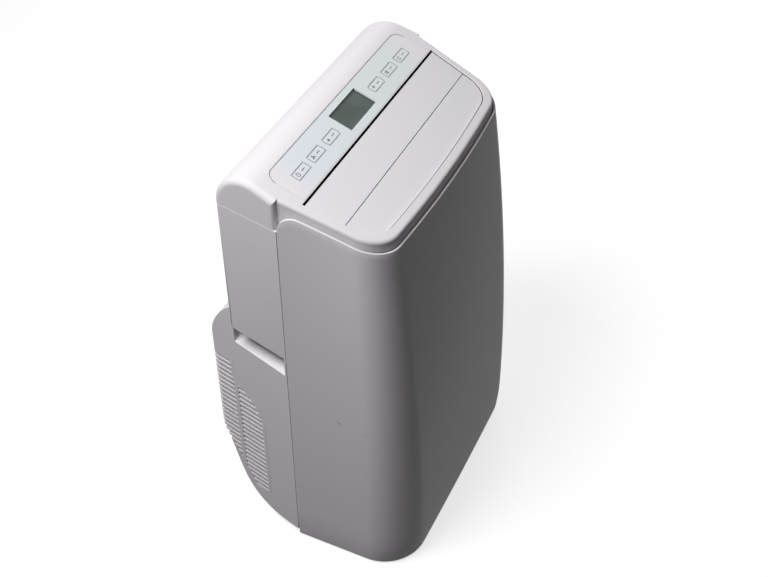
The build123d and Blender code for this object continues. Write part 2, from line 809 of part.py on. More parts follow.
def caster_fork(x, y):
    """Swivel fork: stem, round top plate and two legs round the wheel."""
    plate_high = tray_floor_z - slip
    plate_low = plate_high - fork_thick
    half = wheel_width / 2 + slip
    fork = rod_z(stem_radius, plate_high - 0.1, tray_floor_z + tray_floor + stem_length - 3, x, y)
    fork += rod_z(wheel_width / 2 + fork_side + 3, plate_low, plate_high, x, y)
    axle_y = y + caster_trail
    for side in (-1, 1):
        x0, x1 = sorted((x + side * half, x + side * (half + fork_side)))
        leg = polygon((y - 8, plate_high), (axle_y + 7, plate_high), (axle_y + 6, wheel_radius - 4),
                      (axle_y - 6, wheel_radius - 4))
        fork += along_x(leg, x0, x1)
    fork -= rod_x(axle_radius + running, x - SPAN, x + SPAN, axle_y, wheel_radius)
    return fork - rod_x(wheel_radius + 1.0, x - half, x + half, axle_y, wheel_radius)


def caster_axle(x, y):
    half = wheel_width / 2 + fork_side + slip
    axle_y = y + caster_trail
    return rod_x(axle_radius, x - half, x + half, axle_y, wheel_radius)


def caster_wheel(x, y):
    """Twin-rim wheel with a groove round its tread and dished sides."""
    half = wheel_width / 2
    bore = axle_radius + running
    hub = wheel_radius - 4
    rim = wheel_radius - 1.5
    groove = wheel_radius - 2
    profile = polygon((bore, -half), (hub, -half), (hub, 2 - half), (rim, 2 - half),
                      (wheel_radius, 3.5 - half), (wheel_radius, -1.5), (groove, -1), (groove, 1),
                      (wheel_radius, 1.5), (wheel_radius, half - 3.5), (rim, half - 2), (hub, half - 2), (hub, half), (bore, half))
    wheel = revolve(Plane.XZ * profile, Axis.Z)
    return Pos(x, y + caster_trail, wheel_radius) * Rot(0, 90, 0) * wheel


# Cooling machinery inside the cabinet
def coil(x0, x1, y0, y1, z0, z1, along):
    """Fin pack between two end plates, with grooves that stand for its fins."""
    pack = box(x0, x1, y0, y1, z0, z1)
    start, stop = (x0, x1) if along == "x" else (y0, y1)
    place = start + coil_fin_pitch
    while place < stop - coil_fin_pitch / 2:
        half = coil_fin_pitch / 4
        if along == "x":
            pack -= box(place - half, place + half, y0 - 1, y0 + coil_fin_depth, z0 + 4, z1 - 4)
            pack -= box(place - half, place + half, y1 - coil_fin_depth, y1 + 1, z0 + 4, z1 - 4)
        else:
            pack -= box(x0 - 1, x0 + coil_fin_depth, place - half, place + half, z0 + 4, z1 - 4)
            pack -= box(x1 - coil_fin_depth, x1 + 1, place - half, place + half, z0 + 4, z1 - 4)
        place += coil_fin_pitch
    return pack


def evaporator_tray():
    """Drip tray that carries the evaporator on the lower housing's roof."""
    front = evaporator_front_y - 5
    rear = evaporator_front_y + coil_thick + 4
    half = coil_half_length - 2
    tray = box(-half - 4, half + 4, front, rear, ledge_top_z + 0.05, evaporator_low_z + 8)
    return tray - box(-half - 2.2, half + 2.2, front + 2, rear - 2, evaporator_low_z, evaporator_low_z + 20)


def impeller(radius, width, hub_length):
    """Drum of straight blades on a back plate with a bored hub, along Z."""
    back = 3.0
    wheel = Pos(0, 0, back / 2) * Cylinder(radius, back)
    wheel += Pos(0, 0, width - 2) * (Cylinder(radius, 4) - Cylinder(radius - 10, 6))
    for i in range(wheel_blades):
        blade = Pos(radius - 9, 0, width / 2) * Rot(0, 0, 35) * Box(15, 1.6, width - 2)
        wheel += Rot(0, 0, 360 * i / wheel_blades) * blade
    wheel &= Pos(0, 0, width / 2) * Cylinder(radius, width)
    wheel += Pos(0, 0, hub_length / 2) * Cylinder(3 * shaft_radius, hub_length)
    return wheel - Pos(0, 0, width / 2) * Cylinder(shaft_radius + running, 3 * width)


def fan_motor(shaft_reach):
    """Motor along Z below its mounting face, with ribs and a shaft above the face."""
    body = Pos(0, 0, -motor_length / 2) * Cylinder(motor_radius, motor_length)
    body += Pos(0, 0, -2) * Cylinder(motor_radius + 6, 4)
    body += Pos(0, 0, -motor_length - 4) * Cylinder(motor_radius / 2, 8)
    return body + Pos(0, 0, shaft_reach / 2) * Cylinder(shaft_radius, shaft_reach)


def evaporator_scroll():
    """Blower housing: a round chamber open to the rear and a chimney up to the outlet duct."""
    y0 = blower_front_y
    y1 = y0 + blower_width
    def chamber(inset):
        low, high = y0 + inset, y1 - inset
        form = rod_y(blower_radius - inset, low, high, 0, blower_z)
        tower = box(-blower_radius + inset, blower_radius - inset, low, high, blower_z, 2 * slope_z0)
        return form + tower
    room = slab(Rectangle(SPAN * 2, SPAN * 2), -SPAN, -duct_depth - slip)
    shell = (chamber(0) & on_top(room)) - chamber(duct_wall)
    shell -= rod_y(cold_wheel_radius - 12, y1 - 5, y1 + 5, 0, blower_z)
    shell -= rod_y(shaft_radius * 3 + 1, y0 - 5, y0 + 5, 0, blower_z)
    foot = box(-60, 60, y0, seam_y - 4, deck_z + deck_thick, blower_z - blower_radius + 20)
    return shell + (foot - rod_y(blower_radius - 1, -SPAN, SPAN, 0, blower_z))


def condenser_scroll():
    """Hot-side blower housing with a duct back to the exhaust collar."""
    half = hot_blower_width / 2
    outlet_half_z = exhaust_bore - 12
    def chamber(inset):
        form = rod_x(hot_blower_radius - inset, -half + inset, half - inset, hot_blower_y, hot_blower_z)
        rear = exhaust_front_y - wall - slip + (10 if inset else 0)
        return form + box(-half + inset, half - inset, hot_blower_y, rear, exhaust_z - outlet_half_z + inset,
                          exhaust_z + outlet_half_z - 12 - inset)
    shell = chamber(0) - chamber(duct_wall)
    shell -= rod_x(hot_wheel_radius - 14, half - 5, half + 5, hot_blower_y, hot_blower_z)
    shell -= rod_x(shaft_radius * 3 + 1, -half - 5, -half + 5, hot_blower_y, hot_blower_z)
    foot = box(-half, half, hot_blower_y - scroll_foot, hot_blower_y + scroll_foot, tray_floor_z + tray_floor,
               hot_blower_z - hot_blower_radius + 14)
    return shell + (foot - rod_x(hot_blower_radius - 1, -SPAN, SPAN, hot_blower_y, hot_blower_z))


def mid_deck():
    """Deck between the hot and the cold half, on four posts, with a hole for the pipe."""
    z = deck_z + deck_thick
    plan = front_section(z, wall + deck_inset, rear_start - 1)
    deck = Pos(0, 0, deck_z) * extrude(plan, amount=deck_thick, dir=(0, 0, 1))
    for x in (-post_x, post_x):
        for y in (-60, 8):
            deck += rod_z(post_radius, tray_floor_z + tray_floor, deck_z + 1, x, y)
    return deck - rod_z(pipe_radius + 3, deck_z - 1, z + 1, compressor_x, accumulator_y())


def accumulator_y():
    return compressor_y - compressor_radius - accumulator_radius - slip


def compressor():
    """Rotary compressor: a can with domed ends and three feet plates."""
    low = tray_floor_z + tray_floor + foot_height
    can = rod_z(compressor_radius, low, low + compressor_height, compressor_x, compressor_y)
    can = fillet(can.edges().filter_by(GeomType.CIRCLE), 22)
    for k in range(3):
        angle = radians(90 + 120 * k)
        reach = compressor_radius + 8
        x = compressor_x + reach * cos(angle)
        y = compressor_y + reach * sin(angle)
        can += rod_z(13, low, low + 4, x, y)
        arm = Box(reach, 18, 4)
        turned = Rot(0, 0, degrees(angle)) * Pos(reach / 2, 0, 0) * arm
        can += Pos(compressor_x, compressor_y, low + 2) * turned
    top = low + compressor_height
    return can + rod_z(pipe_radius + 2, top - 2, top + 10, compressor_x, compressor_y)


def compressor_feet():
    """Three rubber grommets between the compressor and the tray."""
    low = tray_floor_z + tray_floor
    feet = []
    for k in range(3):
        angle = radians(90 + 120 * k)
        reach = compressor_radius + 8
        x = compressor_x + reach * cos(angle)
        y = compressor_y + reach * sin(angle)
        feet.append(rod_z(11, low, low + foot_height, x, y))
    return Compound(children=feet)


def accumulator():
    low = tray_floor_z + tray_floor + foot_height + 40
    can = rod_z(accumulator_radius, low, low + accumulator_height, compressor_x, accumulator_y())
    return fillet(can.edges().filter_by(GeomType.CIRCLE), 14)


def tube(points, radius, bend):
    """Bent tube along straight runs and arcs."""
    path = FilletPolyline(*points, radius=bend)
    start = Vector(*points[1]) - Vector(*points[0])
    section = Plane(origin=points[0], z_dir=start) * Circle(radius)
    return sweep(section, path=path)


def discharge_pipe():
    top = tray_floor_z + tray_floor + foot_height + compressor_height + 10
    coil_x = condenser_x + coil_thick / 2
    high = top + 42
    return tube([(compressor_x, compressor_y, top), (compressor_x, compressor_y, high),
                 (coil_x, compressor_y + 20, high), (coil_x, condenser_front_y, high)], pipe_radius, 15)


def suction_pipe():
    top = tray_floor_z + tray_floor + foot_height + 40 + accumulator_height
    high = evaporator_low_z + 70
    end_x = compressor_x + 24
    return tube([(compressor_x, accumulator_y(), top), (compressor_x, accumulator_y(), high),
                 (end_x, accumulator_y() + 80, high), (end_x, evaporator_front_y, high)], pipe_radius, 20)


def electrical_box():
    z0 = deck_z + deck_thick
    x0, x1 = -electrical_outer_x, -electrical_inner_x
    y0, y1 = electrical_front_y, electrical_rear_y
    z1 = z0 + electrical_height
    t = duct_wall
    return box(x0, x1, y0, y1, z0, z1) - box(x0 + t, x1 - t, y0 + t, y1 - t, z0 + t, z1 - t)


def fan_on_y(shape, y):
    """Stand a fan piece drawn along Z so that it points to the rear."""
    return Pos(0, y, blower_z) * Rot(-90, 0, 0) * shape


def fan_on_x(shape, x):
    """Stand a fan piece drawn along Z so that it points to the right."""
    return Pos(x, hot_blower_y, hot_blower_z) * Rot(0, 90, 0) * shape


def build():
    parts["front_panel"] = front_panel()
    parts["top_cover"] = top_cover()
    parts["control_panel"] = control_panel()
    parts["display_window"] = display_window()
    parts["display_module"] = display_module()
    parts["control_board"] = control_board()
    for name, x in key_places.items():
        parts["key_" + name] = key(x)
    rear_front_v = blade_split_v + blade_gap / 2
    parts["rear_louvre"] = louvre(rear_blade_v, rear_front_v, rear_pivot_v, True)
    parts["front_louvre"] = louvre(front_blade_v, outlet_front_v - outlet_bow, front_pivot_v, False)
    parts["louvre_link"] = louvre_link()
    parts["louvre_motor"] = louvre_motor()
    parts["outlet_duct"] = outlet_duct()
    parts["rear_upper_cover"] = rear_upper_cover()
    parts["filter_grille"] = filter_grille()
    parts["air_filter"] = air_filter()
    parts["rear_lower_housing"] = rear_lower_housing()
    parts["left_intake_grille"] = intake_grille(-1)
    parts["right_intake_grille"] = intake_grille(1)
    parts["exhaust_collar"] = exhaust_collar()
    parts["drain_spout"] = drain_spout()
    parts["drain_plug"] = drain_plug()
    parts["cord_gland"] = cord_gland()
    parts["base_tray"] = base_tray()
    for name, (x, y) in caster_places().items():
        parts["caster_fork_" + name] = caster_fork(x, y)
        parts["caster_axle_" + name] = caster_axle(x, y)
        parts["caster_wheel_" + name] = caster_wheel(x, y)
    parts["mid_deck"] = mid_deck()
    parts["evaporator_coil"] = coil(-coil_half_length, coil_half_length, evaporator_front_y,
                                    evaporator_front_y + coil_thick, evaporator_low_z, evaporator_high_z, "x")
    parts["evaporator_tray"] = evaporator_tray()
    parts["evaporator_scroll"] = evaporator_scroll()
    parts["evaporator_motor"] = fan_on_y(fan_motor(blower_width - 14), blower_front_y)
    cold_width = blower_width - 2 * duct_wall - 8
    cold_wheel = impeller(cold_wheel_radius, cold_width, 30)
    parts["evaporator_impeller"] = fan_on_y(cold_wheel, blower_front_y + duct_wall + 4)
    for side, name in ((-1, "left"), (1, "right")):
        x0, x1 = sorted((side * condenser_x, side * (condenser_x + coil_thick)))
        parts["condenser_coil_" + name] = coil(x0, x1, condenser_front_y, condenser_front_y + condenser_depth,
                                               condenser_low_z, condenser_high_z, "y")
    parts["condenser_scroll"] = condenser_scroll()
    half = hot_blower_width / 2
    parts["condenser_motor"] = fan_on_x(fan_motor(hot_blower_width - 14), -half)
    hot_width = hot_blower_width - 2 * duct_wall - 8
    parts["condenser_impeller"] = fan_on_x(impeller(hot_wheel_radius, hot_width, 30), -half + duct_wall + 4)
    parts["compressor"] = compressor()
    parts["compressor_feet"] = compressor_feet()
    parts["accumulator"] = accumulator()
    parts["discharge_pipe"] = discharge_pipe()
    parts["suction_pipe"] = suction_pipe()
    parts["electrical_box"] = electrical_box()


build()
os.makedirs("parts", exist_ok=True)
for node, shape in parts.items():
    export_step(shape, "parts/" + node + ".step")
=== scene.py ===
"""Looks of a portable air conditioner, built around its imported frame.

Lengths are metres. +X is the right side seen from the front, +Y the rear and +Z up.
"""

import json
import math

import bmesh
import bpy
import numpy as np
from bpy.props import FloatProperty, FloatVectorProperty, IntProperty, PointerProperty
from mathutils import Matrix, Vector


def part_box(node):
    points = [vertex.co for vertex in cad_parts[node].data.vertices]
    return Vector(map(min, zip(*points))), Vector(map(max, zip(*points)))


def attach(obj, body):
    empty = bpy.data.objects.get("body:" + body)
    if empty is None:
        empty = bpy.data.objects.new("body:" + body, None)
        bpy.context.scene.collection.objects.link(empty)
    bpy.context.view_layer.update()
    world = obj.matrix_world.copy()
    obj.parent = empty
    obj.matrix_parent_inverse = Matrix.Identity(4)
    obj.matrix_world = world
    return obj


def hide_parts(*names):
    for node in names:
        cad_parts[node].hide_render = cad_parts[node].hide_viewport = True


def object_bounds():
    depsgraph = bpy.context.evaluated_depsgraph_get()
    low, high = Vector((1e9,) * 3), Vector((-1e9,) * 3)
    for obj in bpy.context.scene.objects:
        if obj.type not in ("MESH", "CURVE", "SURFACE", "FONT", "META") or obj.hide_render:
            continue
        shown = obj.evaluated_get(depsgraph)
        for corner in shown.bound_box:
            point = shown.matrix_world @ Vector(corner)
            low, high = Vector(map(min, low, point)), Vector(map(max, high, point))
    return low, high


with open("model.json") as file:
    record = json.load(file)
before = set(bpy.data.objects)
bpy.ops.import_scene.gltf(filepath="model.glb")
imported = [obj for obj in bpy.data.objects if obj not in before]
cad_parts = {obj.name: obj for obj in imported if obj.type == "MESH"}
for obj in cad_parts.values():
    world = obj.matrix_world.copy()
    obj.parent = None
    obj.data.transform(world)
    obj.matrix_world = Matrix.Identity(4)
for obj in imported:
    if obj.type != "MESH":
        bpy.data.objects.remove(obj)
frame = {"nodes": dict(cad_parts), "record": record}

bl_info = {
    "name": "Portable air conditioner",
    "version": (1, 0, 0),
    "blender": (4, 5, 0),
    "location": "View3D > Sidebar > Air conditioner",
    "description": "Dresses the packed air conditioner: panel skin, prints, finishes and stage",
    "category": "Object",
}

CAD_LOW, CAD_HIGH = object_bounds()
PANEL_LOW, PANEL_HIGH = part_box("front_panel")
MM = 0.001


def length(name, description, default):
    """A size of the object in metres."""
    return FloatProperty(name=name, description=description, default=default, unit="LENGTH", precision=4)


def degrees(name, description, default):
    """An angle, given in degrees."""
    return FloatProperty(name=name, description=description, default=math.radians(default), subtype="ANGLE")


def number(name, description, default):
    """A plain number."""
    return FloatProperty(name=name, description=description, default=default)


def location(name, description, default):
    """A place in the frame, in metres."""
    return FloatVectorProperty(name=name, description=description, default=default, subtype="XYZ",
                               unit="LENGTH")


def to_linear(value):
    """Linear light of a display value from 0 to 1, by the sRGB curve."""
    return value / 12.92 if value <= 0.04045 else ((value + 0.055) / 1.055) ** 2.4


def colour(name, description, red, green, blue):
    """A colour picked from its display values, 0 to 255, and kept as linear light."""
    linear = [to_linear(value / 255) for value in (red, green, blue)]
    return FloatVectorProperty(name=name, description=description, default=linear, subtype="COLOR", size=3,
                               min=0.0, max=1.0)


class AirConditionerSizes(bpy.types.PropertyGroup):
    """Sizes of the surfaces that dress the frame."""

    half_width: length("Half width", "Half the width of the cabinet", 0.229)
    panel_front: length("Panel front", "Foremost place of the front panel", -0.169)
    panel_top: length("Panel top", "Height of the front panel's upper edge at its middle", 0.616)
    panel_bow: length("Panel bow", "Radius of the panel's bow in side view", 4.450)
    front_bow_low: length("Lower front bow", "How far the front bows forward in plan at the floor", 0.0025)
    front_bow_high: length("Upper front bow", "How far the front bows forward in plan at its upper edge",
                           0.008)
    panel_top_half_width: length("Panel top half width", "Half width between the upper front corners", 0.209)
    corner_low: length("Lower corner", "Corner radius of the panel at the floor", 0.070)
    corner_high: length("Upper corner", "Corner radius of the panel at its upper edge", 0.053)
    tuck_height: length("Tuck height", "Height below which the panel draws in", 0.060)
    tuck_depth: length("Tuck depth", "How far the panel draws in at the bottom", 0.0025)
    crest_radius: length("Crest radius", "Round of the panel's upper edge where it meets the seam", 0.0225)
    side_reach: length("Side reach", "How far the panel's sides are drawn on behind the seam", 0.003)
    panel_wall: length("Panel wall", "Width of the lip along the panel's edge", 0.0033)
    panel_edge_round: length("Panel edge round", "Round of the lip", 0.0010)
    top_middle_z: length("Top height", "Height of the sloping top over the middle of the plan", 0.6758)
    top_slope: degrees("Top slope", "Slope of the top", 20.0)
    key_length: length("Key length", "Length of a key", 0.033)
    key_width: length("Key width", "Width of a key", 0.014)
    key_place: length("Key place", "Distance of the keys up the slope from the middle of the plan", 0.0255)
    moulded_round: length("Moulded round", "Round of the sharp edges of the blades", 0.0003)
    seam_round: length("Seam round", "Round of the upper edge of the rear cover", 0.0006)
    key_line_inset: length("Key line inset", "Distance of a key's outline from its edge", 0.0006)
    key_line_corner: length("Key line corner", "Corner radius of a key's outline", 0.0024)
    symbol_shift: length("Symbol shift", "Distance of a symbol to the left of its key's middle", 0.008)
    symbol_scale: number("Symbol scale", "Size of the keys' symbols", 1.35)
    bar_start: length("Bar start", "Left end of a key's short bar, from the key's middle", 0.001)
    bar_end: length("Bar end", "Right end of a key's short bar, from the key's middle", 0.009)
    bar_width: length("Bar width", "Width of a key's short bar", 0.0011)
    print_line: length("Printed line", "Width of the printed lines", 0.0008)
    print_lift: length("Print lift", "Height of the prints above what carries them", 0.00006)
    film_half_width: length("Film half width", "Half the length of the control film", 0.198)
    film_rear: length("Film rear", "Rear edge of the film, up the slope", 0.0575)
    film_corner: length("Film corner", "Corner radius of the film", 0.017)
    film_line_inset: length("Film line inset", "Distance of the film's line from its edge", 0.0007)
    rows: IntProperty(name="Rows", description="Rows of a fine surface", default=72, min=8)


class AirConditionerColours(bpy.types.PropertyGroup):
    """Colours of the finishes, as they look in plain light."""

    shell: colour("Shell", "Moulded cabinet", 226, 222, 226)
    louvre: colour("Louvre", "Outlet blades", 224, 222, 227)
    film: colour("Film", "Control film", 217, 222, 225)
    ink: colour("Ink", "Printed lines and symbols", 62, 66, 72)
    glass: colour("Glass", "Display glass", 54, 70, 66)
    dark_plastic: colour("Dark plastic", "Inner mouldings", 70, 72, 76)
    rubber: colour("Rubber", "Tyres, plug and grommets", 38, 38, 40)
    net: colour("Net", "Filter net", 96, 102, 112)
    board: colour("Board", "Control board", 28, 84, 52)
    steel: colour("Steel", "Axles and motors", 176, 178, 182)
    fins: colour("Fins", "Coil fins", 198, 202, 208)
    black_steel: colour("Black steel", "Compressor enamel", 30, 31, 33)
    copper: colour("Copper", "Pipes", 196, 118, 84)
    floor: colour("Floor", "Studio floor", 246, 246, 246)


class AirConditionerStage(bpy.types.PropertyGroup):
    """Camera and light."""

    camera_azimuth: degrees("Camera azimuth", "Direction of the camera round the object", -65.1)
    camera_elevation: degrees("Camera elevation", "Camera's height above the horizon", 42.1)
    camera_lens: number("Lens", "Focal length in millimetres", 56.25)
    camera_place: location("Camera place", "Where the camera stands", (-1.241, -0.597, 1.607))
    key_power: number("Key power", "Power of the large lamp in watts", 53.0)
    key_size: length("Key size", "Side of the large lamp", 0.9)
    key_place: location("Key place", "Where the large lamp hangs", (-0.98, 0.50, 2.45))
    fill_power: number("Fill power", "Power of the lamp at the right in watts", 26.0)
    fill_size: length("Fill size", "Side of the lamp at the right", 1.4)
    fill_place: location("Fill place", "Where the lamp at the right stands", (2.3, 0.45, 0.85))
    floor_glow: number("Floor glow", "Own white of the floor where it is seen", 0.76)
    ambient: number("Ambient", "Light from all round", 0.062)



def sizes():
    return bpy.context.scene.ac_sizes


def colours():
    return bpy.context.scene.ac_colours


def stage():
    return bpy.context.scene.ac_stage


# Node expressions

class Wire:
    """One output socket in a material. Arithmetic on wires adds Math nodes."""

    def __init__(self, tree, socket):
        self.tree = tree
        self.socket = socket

    def node(self, kind, settings=None, inputs=None, output=0):
        """Add a node: its settings are set first, then its inputs take values or wires."""
        made = self.tree.nodes.new(kind)
        for name, value in (settings or {}).items():
            setattr(made, name, value)
        for name, value in (inputs or {}).items():
            if isinstance(value, Wire):
                self.tree.links.new(value.socket, made.inputs[name])
            else:
                made.inputs[name].default_value = value
        return Wire(self.tree, made.outputs[output])

    def math(self, operation, other=0.0):
        """This wire and another, or a number, through a Math node."""
        return self.node("ShaderNodeMath", {"operation": operation}, {0: self, 1: other})

    def __add__(self, other):
        return self.math("ADD", other)

    __radd__ = __add__

    def __sub__(self, other):
        return self.math("SUBTRACT", other)

    def __rsub__(self, other):
        return self.node("ShaderNodeMath", {"operation": "SUBTRACT"}, {0: other, 1: self})

    def __mul__(self, other):
        return self.math("MULTIPLY", other)

    def __truediv__(self, other):
        return self.math("DIVIDE", other)

    def __lt__(self, other):
        return self.math("LESS_THAN", other)


def new_material(name):
    """A material with one Principled shader. Returns the material, its shader and its object coordinates."""
    material = bpy.data.materials.new(name)
    material.use_nodes = True
    tree = material.node_tree
    tree.nodes.clear()
    shader = tree.nodes.new("ShaderNodeBsdfPrincipled")
    output = tree.nodes.new("ShaderNodeOutputMaterial")
    tree.links.new(shader.outputs[0], output.inputs["Surface"])
    coordinates = tree.nodes.new("ShaderNodeTexCoord")
    return material, shader, Wire(tree, coordinates.outputs["Object"])


def connect(shader, **values):
    """Set or link the shader's sockets. Words joined by _ name a socket."""
    for name, value in values.items():
        socket = shader.inputs[name.replace("_", " ").title().replace("Ior", "IOR")]
        if isinstance(value, Wire):
            value.tree.links.new(value.socket, socket)
        else:
            socket.default_value = value


def noise(place, scale, detail=2.0, roughness=0.5):
    """Cloudy noise from 0 to 1, with about as many clouds in a metre as its scale."""
    return place.node("ShaderNodeTexNoise", None,
                      {"Vector": place, "Scale": scale, "Detail": detail, "Roughness": roughness}, "Fac")


def mix_colours(place, amount, first, second):
    """Blend two colours by an amount from 0 to 1."""
    def full(value):
        return value if isinstance(value, Wire) else (*value, 1.0)
    return place.node("ShaderNodeMix", {"data_type": "RGBA", "clamp_factor": True},
                      {0: amount, 6: full(first), 7: full(second)}, 2)


def bump(place, height, distance, strength):
    """Normal of a surface raised by a height from 0 to 1 times a distance."""
    return place.node("ShaderNodeBump", None, {"Height": height, "Distance": distance, "Strength": strength})


def shade(tone, factor):
    """A colour made darker or lighter by a factor."""
    return tuple(min(1.0, channel * factor) for channel in tone)


def separate(place):
    """The three coordinates of a place as wires."""
    made = place.tree.nodes.new("ShaderNodeSeparateXYZ")
    place.tree.links.new(place.socket, made.inputs[0])
    return tuple(Wire(place.tree, socket) for socket in made.outputs)


# Finishes

# The darkening towards the bottom fades out over one twelfth of a metre above the floor
LOW_DARKENING_FALL = 12.0

# Distance from the middle where the film's tint starts to fade, and the run over which it fades
FILM_FADE_START = 0.145
FILM_FADE_RUN = 0.045

# Lines in a metre of display, the share of each that is dark, and the places and runs of the dark border,
# which is partly the display's own border and partly painted shade from the window's walls
DISPLAY_LINES = 2400.0
DISPLAY_LINE_SHARE = 0.14
DISPLAY_REAR = 0.0390
DISPLAY_REAR_RUN = 0.0035
DISPLAY_RIGHT = 0.0360
DISPLAY_RIGHT_RUN = 0.0022

# Fins and threads, with the share of each that is gap or thread
FINS_PER_METRE = 620.0
FIN_GAP_SHARE = 0.42
THREADS_PER_METRE = 620.0
THREAD_SHARE = 0.38
FILTER_DUST = (0.5, 0.48, 0.45)  # linear colour

# Nicks in the left side of the front panel: place and radius
NICKS = (((-0.2267, -0.0555, 0.3079), 0.0013), ((-0.2258, -0.0957, 0.2996), 0.0008))


def moulded_plastic(name, tone, gloss, grain=1.0, marks=()):
    """Satin moulded plastic: fine spark-eroded grain, slow shifts of tone, a little darker towards the
    bottom.
    Marks are small dark nicks, each a place and a radius."""
    material, shader, place = new_material(name)
    z = separate(place)[2]
    slow = noise(place, 5.0, 3.0)
    fine = noise(place, 1400.0, 2.0)
    pores = noise(place, 520.0, 3.0, 0.6)
    low_down = 1.0 - z * LOW_DARKENING_FALL
    # Darker towards the bottom, in cloudy patches
    low_darkening = low_down.node("ShaderNodeClamp", None, {"Value": low_down}) * noise(place, 26.0, 4.0)
    tone_wire = mix_colours(place, slow, shade(tone, 0.975), shade(tone, 1.02))
    tone_wire = mix_colours(place, low_darkening * 0.22, tone_wire, shade(tone, 0.62))
    for spot, radius in marks:
        gap = place.node("ShaderNodeVectorMath", {"operation": "DISTANCE"}, {0: place, 1: spot}, "Value")
        ragged = gap + (noise(place, 900.0) - 0.5) * radius
        tone_wire = mix_colours(place, ragged < radius, tone_wire, shade(tone, 0.12))
    connect(shader, base_color=tone_wire, roughness=gloss + (pores - 0.5) * 0.10 + (slow - 0.5) * 0.05,
            normal=bump(place, fine * 0.6 + pores, 0.00010 * grain, 0.55), specular_ior_level=0.08)
    return material


def control_film(name, tone, shell_tone):
    """Printed polyester film: smooth, a little bluer towards its left end, with a hint of haze.
    Its tint fades into the cabinet's tone at both ends."""
    material, shader, place = new_material(name)
    x = separate(place)[0]
    haze = noise(place, 9.0, 3.0)
    along = (x / 0.4 + 0.5) + (haze - 0.5) * 0.2
    tone_wire = mix_colours(place, along, (tone[0] * 0.98, tone[1] * 0.985, tone[2] * 1.03),
                            (tone[0] * 1.0, tone[1] * 1.02, tone[2] * 0.97))
    fade = (x.math("ABSOLUTE") - FILM_FADE_START) / FILM_FADE_RUN
    tone_wire = mix_colours(place, fade, tone_wire, shell_tone)
    fine = noise(place, 2200.0, 1.0)
    connect(shader, base_color=tone_wire, roughness=0.34 + haze * 0.08, coat_weight=0.08, coat_roughness=0.2,
            normal=bump(place, fine, 0.00003, 0.4), specular_ior_level=0.25)
    return material


def printed_ink(name, tone):
    """Screen-printed ink: matt, with slightly uneven cover."""
    material, shader, place = new_material(name)
    cover = noise(place, 700.0, 2.0)
    connect(shader, base_color=mix_colours(place, cover, shade(tone, 0.85), shade(tone, 1.2)),
            roughness=0.5 + cover * 0.15)
    return material


def display_glass(name, tone):
    """Unlit display under a clear window: grey-green with pale clouds and fine lines, dark along its rear
    and right edges (partly its own border, partly painted shade from the window's walls), and glossy on top."""
    material, shader, place = new_material(name)
    cloud = noise(place, 22.0, 2.0)
    x, y = separate(place)[:2]
    lines = (x * DISPLAY_LINES).math("FRACT") < DISPLAY_LINE_SHARE
    patch = (cloud - 0.40) * 3.2
    tone_wire = mix_colours(place, patch, shade(tone, 0.84), shade(tone, 1.45))
    tone_wire = mix_colours(place, lines * 0.10, tone_wire, shade(tone, 0.6))
    # Dark band along the rear and right edges: partly the display's own border, partly painted shade cast by
    # the window's walls
    rear_edge = (y - DISPLAY_REAR) / DISPLAY_REAR_RUN
    right_edge = (x - DISPLAY_RIGHT) / DISPLAY_RIGHT_RUN
    border_and_painted_shade = rear_edge.math("MAXIMUM", right_edge)
    tone_wire = mix_colours(place, border_and_painted_shade, tone_wire, shade(tone, 0.22))
    connect(shader, base_color=tone_wire, roughness=0.16 + cloud * 0.06, coat_weight=0.3, coat_roughness=0.06)
    return material


def soft_rubber(name, tone):
    """Dull rubber with a fine pitted skin and a bloom of dust."""
    material, shader, place = new_material(name)
    dust = noise(place, 60.0, 4.0)
    pits = noise(place, 900.0, 3.0)
    connect(shader, base_color=mix_colours(place, dust * 0.5, tone, shade(tone, 2.1)),
            roughness=0.72 + (dust - 0.5) * 0.2, normal=bump(place, pits, 0.0002, 0.5))
    return material


def brushed_metal(name, tone, gloss):
    """Drawn or rolled metal: streaks along one way and small clouds in the gloss."""
    material, shader, place = new_material(name)
    stretched = place.node("ShaderNodeMapping", None, {"Vector": place, "Scale": (60.0, 900.0, 900.0)})
    streaks = noise(stretched, 1.0, 3.0)
    cloud = noise(place, 40.0, 3.0)
    connect(shader, base_color=mix_colours(place, cloud, shade(tone, 0.85), shade(tone, 1.05)), metallic=1.0,
            roughness=gloss + (streaks - 0.5) * 0.16, normal=bump(place, streaks, 0.00006, 0.35))
    return material


def painted_steel(name, tone):
    """Enamelled steel with slight orange peel."""
    material, shader, place = new_material(name)
    peel = noise(place, 320.0, 2.0)
    cloud = noise(place, 18.0, 3.0)
    connect(shader, base_color=mix_colours(place, cloud, shade(tone, 0.8), shade(tone, 1.4)),
            roughness=0.32 + cloud * 0.12, normal=bump(place, peel, 0.0003, 0.4))
    return material


def coil_fins(name, tone):
    """Stacked aluminium fins: fine upright lines at the real fin spacing, with painted shade in the gaps
    between them.
    """
    material, shader, place = new_material(name)
    x, y = separate(place)[:2]
    gap = ((x + y) * FINS_PER_METRE).math("FRACT") < FIN_GAP_SHARE
    cloud = noise(place, 30.0, 3.0)
    bent = noise(place, 90.0, 2.0)
    metal = mix_colours(place, cloud, shade(tone, 0.85), tone)
    # The gaps between the fins are coloured dark: painted shade between the fins
    tone_wire = mix_colours(place, gap * 0.8, metal, shade(tone, 0.22))
    connect(shader, base_color=tone_wire, metallic=0.8, roughness=0.42 + bent * 0.15,
            normal=bump(place, gap, 0.0004, 0.6))
    return material


